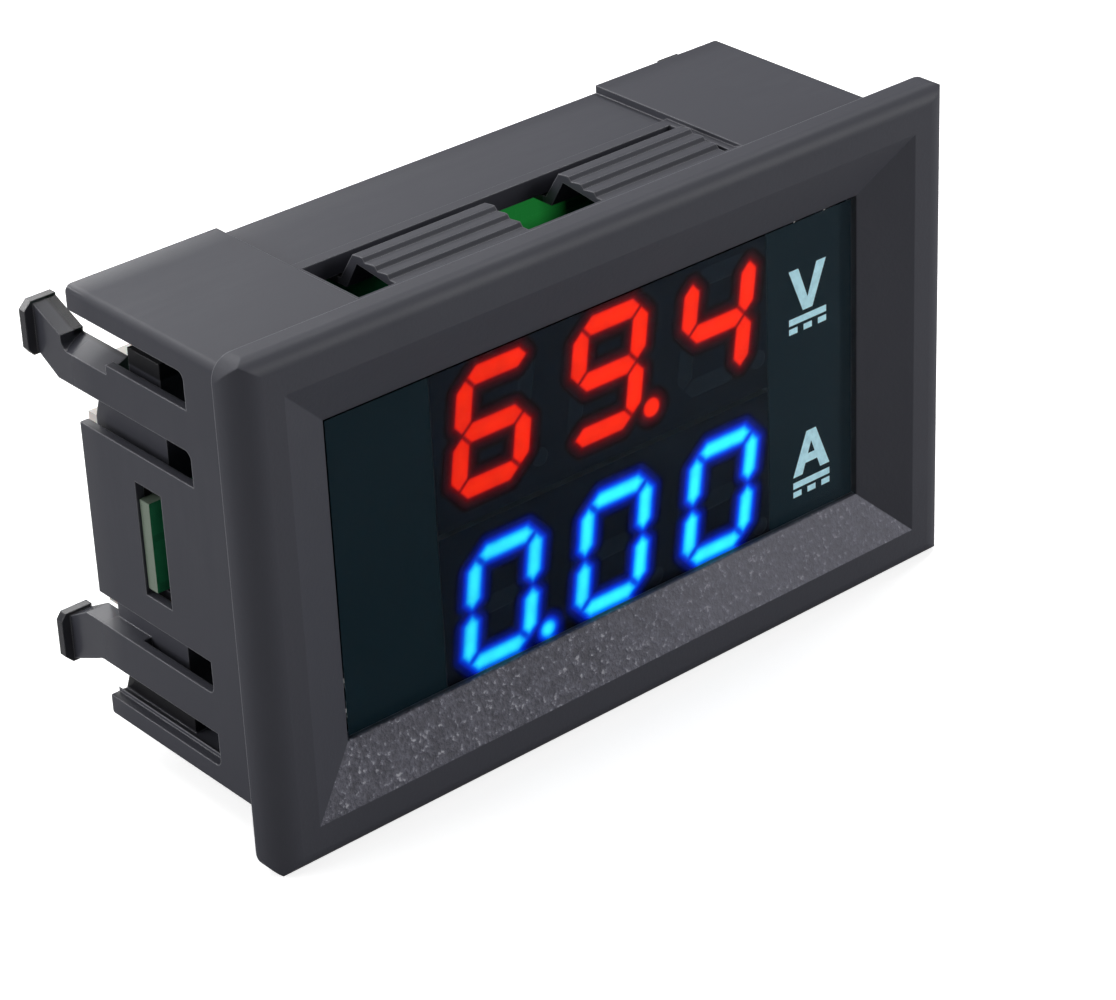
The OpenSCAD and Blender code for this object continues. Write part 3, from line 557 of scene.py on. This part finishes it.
looks = {
    "housing": housing_look,
    "display_window": window_look,
    "legend_marks": legend_look,
    "mask_film": film_look,
    "circuit_board": board_look,
    "current_shunt": shunt_look,
    "reservoir_end": can_look,
    "reservoir_capacitor": sleeve_look,
    "chip_capacitors": capacitor_look,
    "chip_resistors": resistor_look,
}
for colour_name, resin in (("red", red_resin), ("blue", blue_resin)):
    looks[colour_name + "_led_shell"] = shell_look
    looks[colour_name + "_lit_segments"] = resin
    looks[colour_name + "_dark_segments"] = dark_resin
    looks[colour_name + "_led_chips"] = die_look
    looks[colour_name + "_led_board"] = glass_epoxy
    looks[colour_name + "_led_potting"] = potting_look
    looks[colour_name + "_led_pins"] = tin_look
for name in ("microcontroller", "amplifier", "voltage_regulator", "input_diode"):
    looks[name] = chip_look
for name in ("microcontroller_leads", "amplifier_leads", "regulator_leads", "diode_leads", "trimmer_leads",
             "supply_header_pins", "sense_header_pins", "voltage_trimmer_rotor", "current_trimmer_rotor"):
    looks[name] = tin_look
for name in ("supply_header", "sense_header"):
    looks[name] = nylon_look
for name in ("voltage_trimmer_base", "current_trimmer_base"):
    looks[name] = ceramic_look
for name in ("solder_joints", "chip_end_caps"):
    looks[name] = solder_look

for name, thing in nodes.items():
    thing.data.materials.clear()
    thing.data.materials.append(looks[name])


# ---- Pieces made here ----

def keep(mesh, name, look, body="meter"):
    """Turns a bmesh into a piece that rides on a body."""
    data = bpy.data.meshes.new(name)
    mesh.to_mesh(data)
    mesh.free()
    piece = bpy.data.objects.new(name, data)
    bpy.context.scene.collection.objects.link(piece)
    data.materials.append(look)
    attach(piece, body)
    return piece


def islands(node):
    """The separate solids of a node, each as a list of its corner points."""
    mesh = bmesh.new()
    mesh.from_mesh(nodes[node].data)
    bmesh.ops.remove_doubles(mesh, verts=mesh.verts, dist=1e-7)
    left = set(mesh.verts)
    found = []
    while left:
        reach = [left.pop()]
        group = []
        while reach:
            corner = reach.pop()
            group.append(corner.co.copy())
            for edge in corner.link_edges:
                other = edge.other_vert(corner)
                if other in left:
                    left.discard(other)
                    reach.append(other)
        found.append(group)
    mesh.free()
    return found


def front_outline(points):
    """The outline in X and Z of a solid's frontmost face, counter-clockwise."""
    same = 1e-6
    depth = min(p.y for p in points)
    flat = [Vector((p.x, p.z)) for p in points if p.y < depth + same]
    outline = [flat[i] for i in convex_hull_2d(flat)]
    kept = [p for i, p in enumerate(outline) if (p - outline[i - 1]).length > same]
    area = sum(a.x * b.y - b.x * a.y for a, b in zip(kept, kept[1:] + kept[:1]))
    return kept if area > 0 else kept[::-1]


def reach_of(outline, x, z):
    """Distance from a point to a convex outline, negative inside it."""
    inside = -1.0
    nearest = 1.0
    for i, b in enumerate(outline):
        a = outline[i - 1]
        along = b - a
        length = along.length
        away = Vector((x - a.x, z - a.y))
        inside = max(inside, (away.x * along.y - away.y * along.x) / length)
        t = min(1.0, max(0.0, away.dot(along) / (length * length)))
        nearest = min(nearest, (away - along * t).length)
    return inside if inside < 0.0 else nearest


def segment_glow(node, shell, name, look):
    """A skin over a module's face whose 'reach' is the distance in mm to the nearest lit segment."""
    step = 0.125 * MM
    proud = 0.012 * MM
    border = GLOW_REACH * MM
    low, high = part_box(shell)
    nearest = {}
    for points in islands(node):
        outline = front_outline(points)
        left = int((min(p.x for p in outline) - border - low.x) / step)
        right = int((max(p.x for p in outline) + border - low.x) / step) + 1
        bottom = int((min(p.y for p in outline) - border - low.z) / step)
        top = int((max(p.y for p in outline) + border - low.z) / step) + 1
        for i in range(max(left, 0), right + 1):
            for j in range(max(bottom, 0), top + 1):
                x = low.x + i * step
                z = low.z + j * step
                if x > high.x or z > high.z:
                    continue
                gap = reach_of(outline, x, z)
                if gap < border:
                    nearest[i, j] = min(gap, nearest.get((i, j), border))
    mesh = bmesh.new()
    reach = mesh.verts.layers.float.new("reach")
    corners = {}
    for (i, j), gap in nearest.items():
        corner = mesh.verts.new((low.x + i * step, low.y - proud, low.z + j * step))
        corner[reach] = gap / MM
        corners[i, j] = corner
    for i, j in nearest:
        square = [corners.get(key) for key in ((i, j), (i + 1, j), (i + 1, j + 1), (i, j + 1))]
        if all(square):
            mesh.faces.new(square)
    return keep(mesh, name, look)


segment_glow("red_lit_segments", "red_led_shell", "red_glow_film", red_glow_look)
segment_glow("blue_lit_segments", "blue_led_shell", "blue_glow_film", blue_glow_look)


# ---- Floor, light and camera ----

def floor():
    """Paper under the meter. Only the camera sees it white, so no white light comes in behind the window."""
    half = 3.0
    mesh = bmesh.new()
    sides = ((-half, -half), (half, -half), (half, half), (-half, half))
    mesh.faces.new([mesh.verts.new((x, y, cad_low.z)) for x, y in sides])
    data = bpy.data.meshes.new("floor")
    mesh.to_mesh(data)
    mesh.free()
    piece = bpy.data.objects.new("floor", data)
    bpy.context.scene.collection.objects.link(piece)
    made, tree, shader = material("studio_floor", **{
        "Roughness": 0.9, "Specular IOR Level": 0.0, "Emission Strength": 1.0})
    seen = place(tree, "ShaderNodeLightPath").outputs["Is Camera Ray"]
    from_middle = place(tree, "ShaderNodeVectorMath", {0: place_in(tree)}, operation="LENGTH")
    away = between(tree, from_middle.outputs["Value"], 0.05, 0.3)
    paper = blend_colours(tree, seen, (0.4, 0.4, 0.4), (0.9, 0.9, 0.9))
    tree.links.new(paper, shader.inputs["Base Color"])
    lift = times(tree, seen, plus(tree, 0.72, times(tree, away, 0.4)))
    tree.links.new(blend_colours(tree, lift, BLACK, (1.0, 1.0, 1.0)), shader.inputs["Emission Color"])
    data.materials.append(made)


floor()


def world(ambient):
    """A dim even sky on the object, which the camera sees white."""
    made = bpy.data.worlds.new("studio")
    bpy.context.scene.world = made
    made.use_nodes = True
    tree = made.node_tree
    tree.nodes.clear()
    seen = place(tree, "ShaderNodeLightPath").outputs["Is Camera Ray"]
    level = plus(tree, times(tree, seen, 1.0 - ambient), ambient)
    sky = place(tree, "ShaderNodeBackground", {"Color": (1.0, 1.0, 1.0, 1.0), "Strength": level})
    output = place(tree, "ShaderNodeOutputWorld")
    tree.links.new(sky.outputs["Background"], output.inputs["Surface"])


world(AMBIENT)


def lamp(name, direction, distance, size, power):
    """A square soft box that looks at the meter from a direction."""
    data = bpy.data.lights.new(name, "AREA")
    data.size = size
    data.energy = power
    thing = bpy.data.objects.new(name, data)
    bpy.context.scene.collection.objects.link(thing)
    away = Vector(direction).normalized()
    thing.location = away * distance
    thing.rotation_mode = "QUATERNION"
    thing.rotation_quaternion = away.to_track_quat("Z", "Y")


# Name, direction, distance, size and power.
LAMPS = (
    ("back_top_box", (0.15, 1.0, 0.95), 1.0, 0.8, 6.2),
    ("back_left_box", (-1.0, 0.45, 0.4), 0.6, 0.4, 1.45),
    ("front_right_box", (0.8, -0.9, 0.3), 0.7, 0.5, 2.7),
    ("high_right_box", (0.53, 0.12, 0.84), 0.5, 0.1, 0.5),
    ("edge_box", (-0.45, 0.757, 0.486), 0.5, 0.08, 0.22),
)
for row in LAMPS:
    lamp(*row)


def camera(azimuth, elevation, roll, distance):
    """Looks at the origin from the front left and above. Angles are in degrees."""
    data = bpy.data.cameras.new("camera")
    thing = bpy.data.objects.new("camera", data)
    bpy.context.scene.collection.objects.link(thing)
    turn = math.radians(azimuth)
    rise = math.radians(elevation)
    back = Vector((math.sin(turn) * math.cos(rise), -math.cos(turn) * math.cos(rise), math.sin(rise)))
    thing.location = back * distance
    thing.rotation_mode = "QUATERNION"
    spin = Matrix.Rotation(math.radians(roll), 3, "Z").to_quaternion()
    thing.rotation_quaternion = (-back).to_track_quat("-Z", "Y") @ spin
    data.lens = 117.59
    data.sensor_width = 36.0
    data.shift_x = -0.042
    data.shift_y = -0.0381
    data.clip_start = 0.005
    data.clip_end = 50.0
    bpy.context.scene.camera = thing


camera(azimuth=-40.562, elevation=28.658, roll=-2.124, distance=0.19018)
bpy.context.scene.view_settings.view_transform = "Standard"
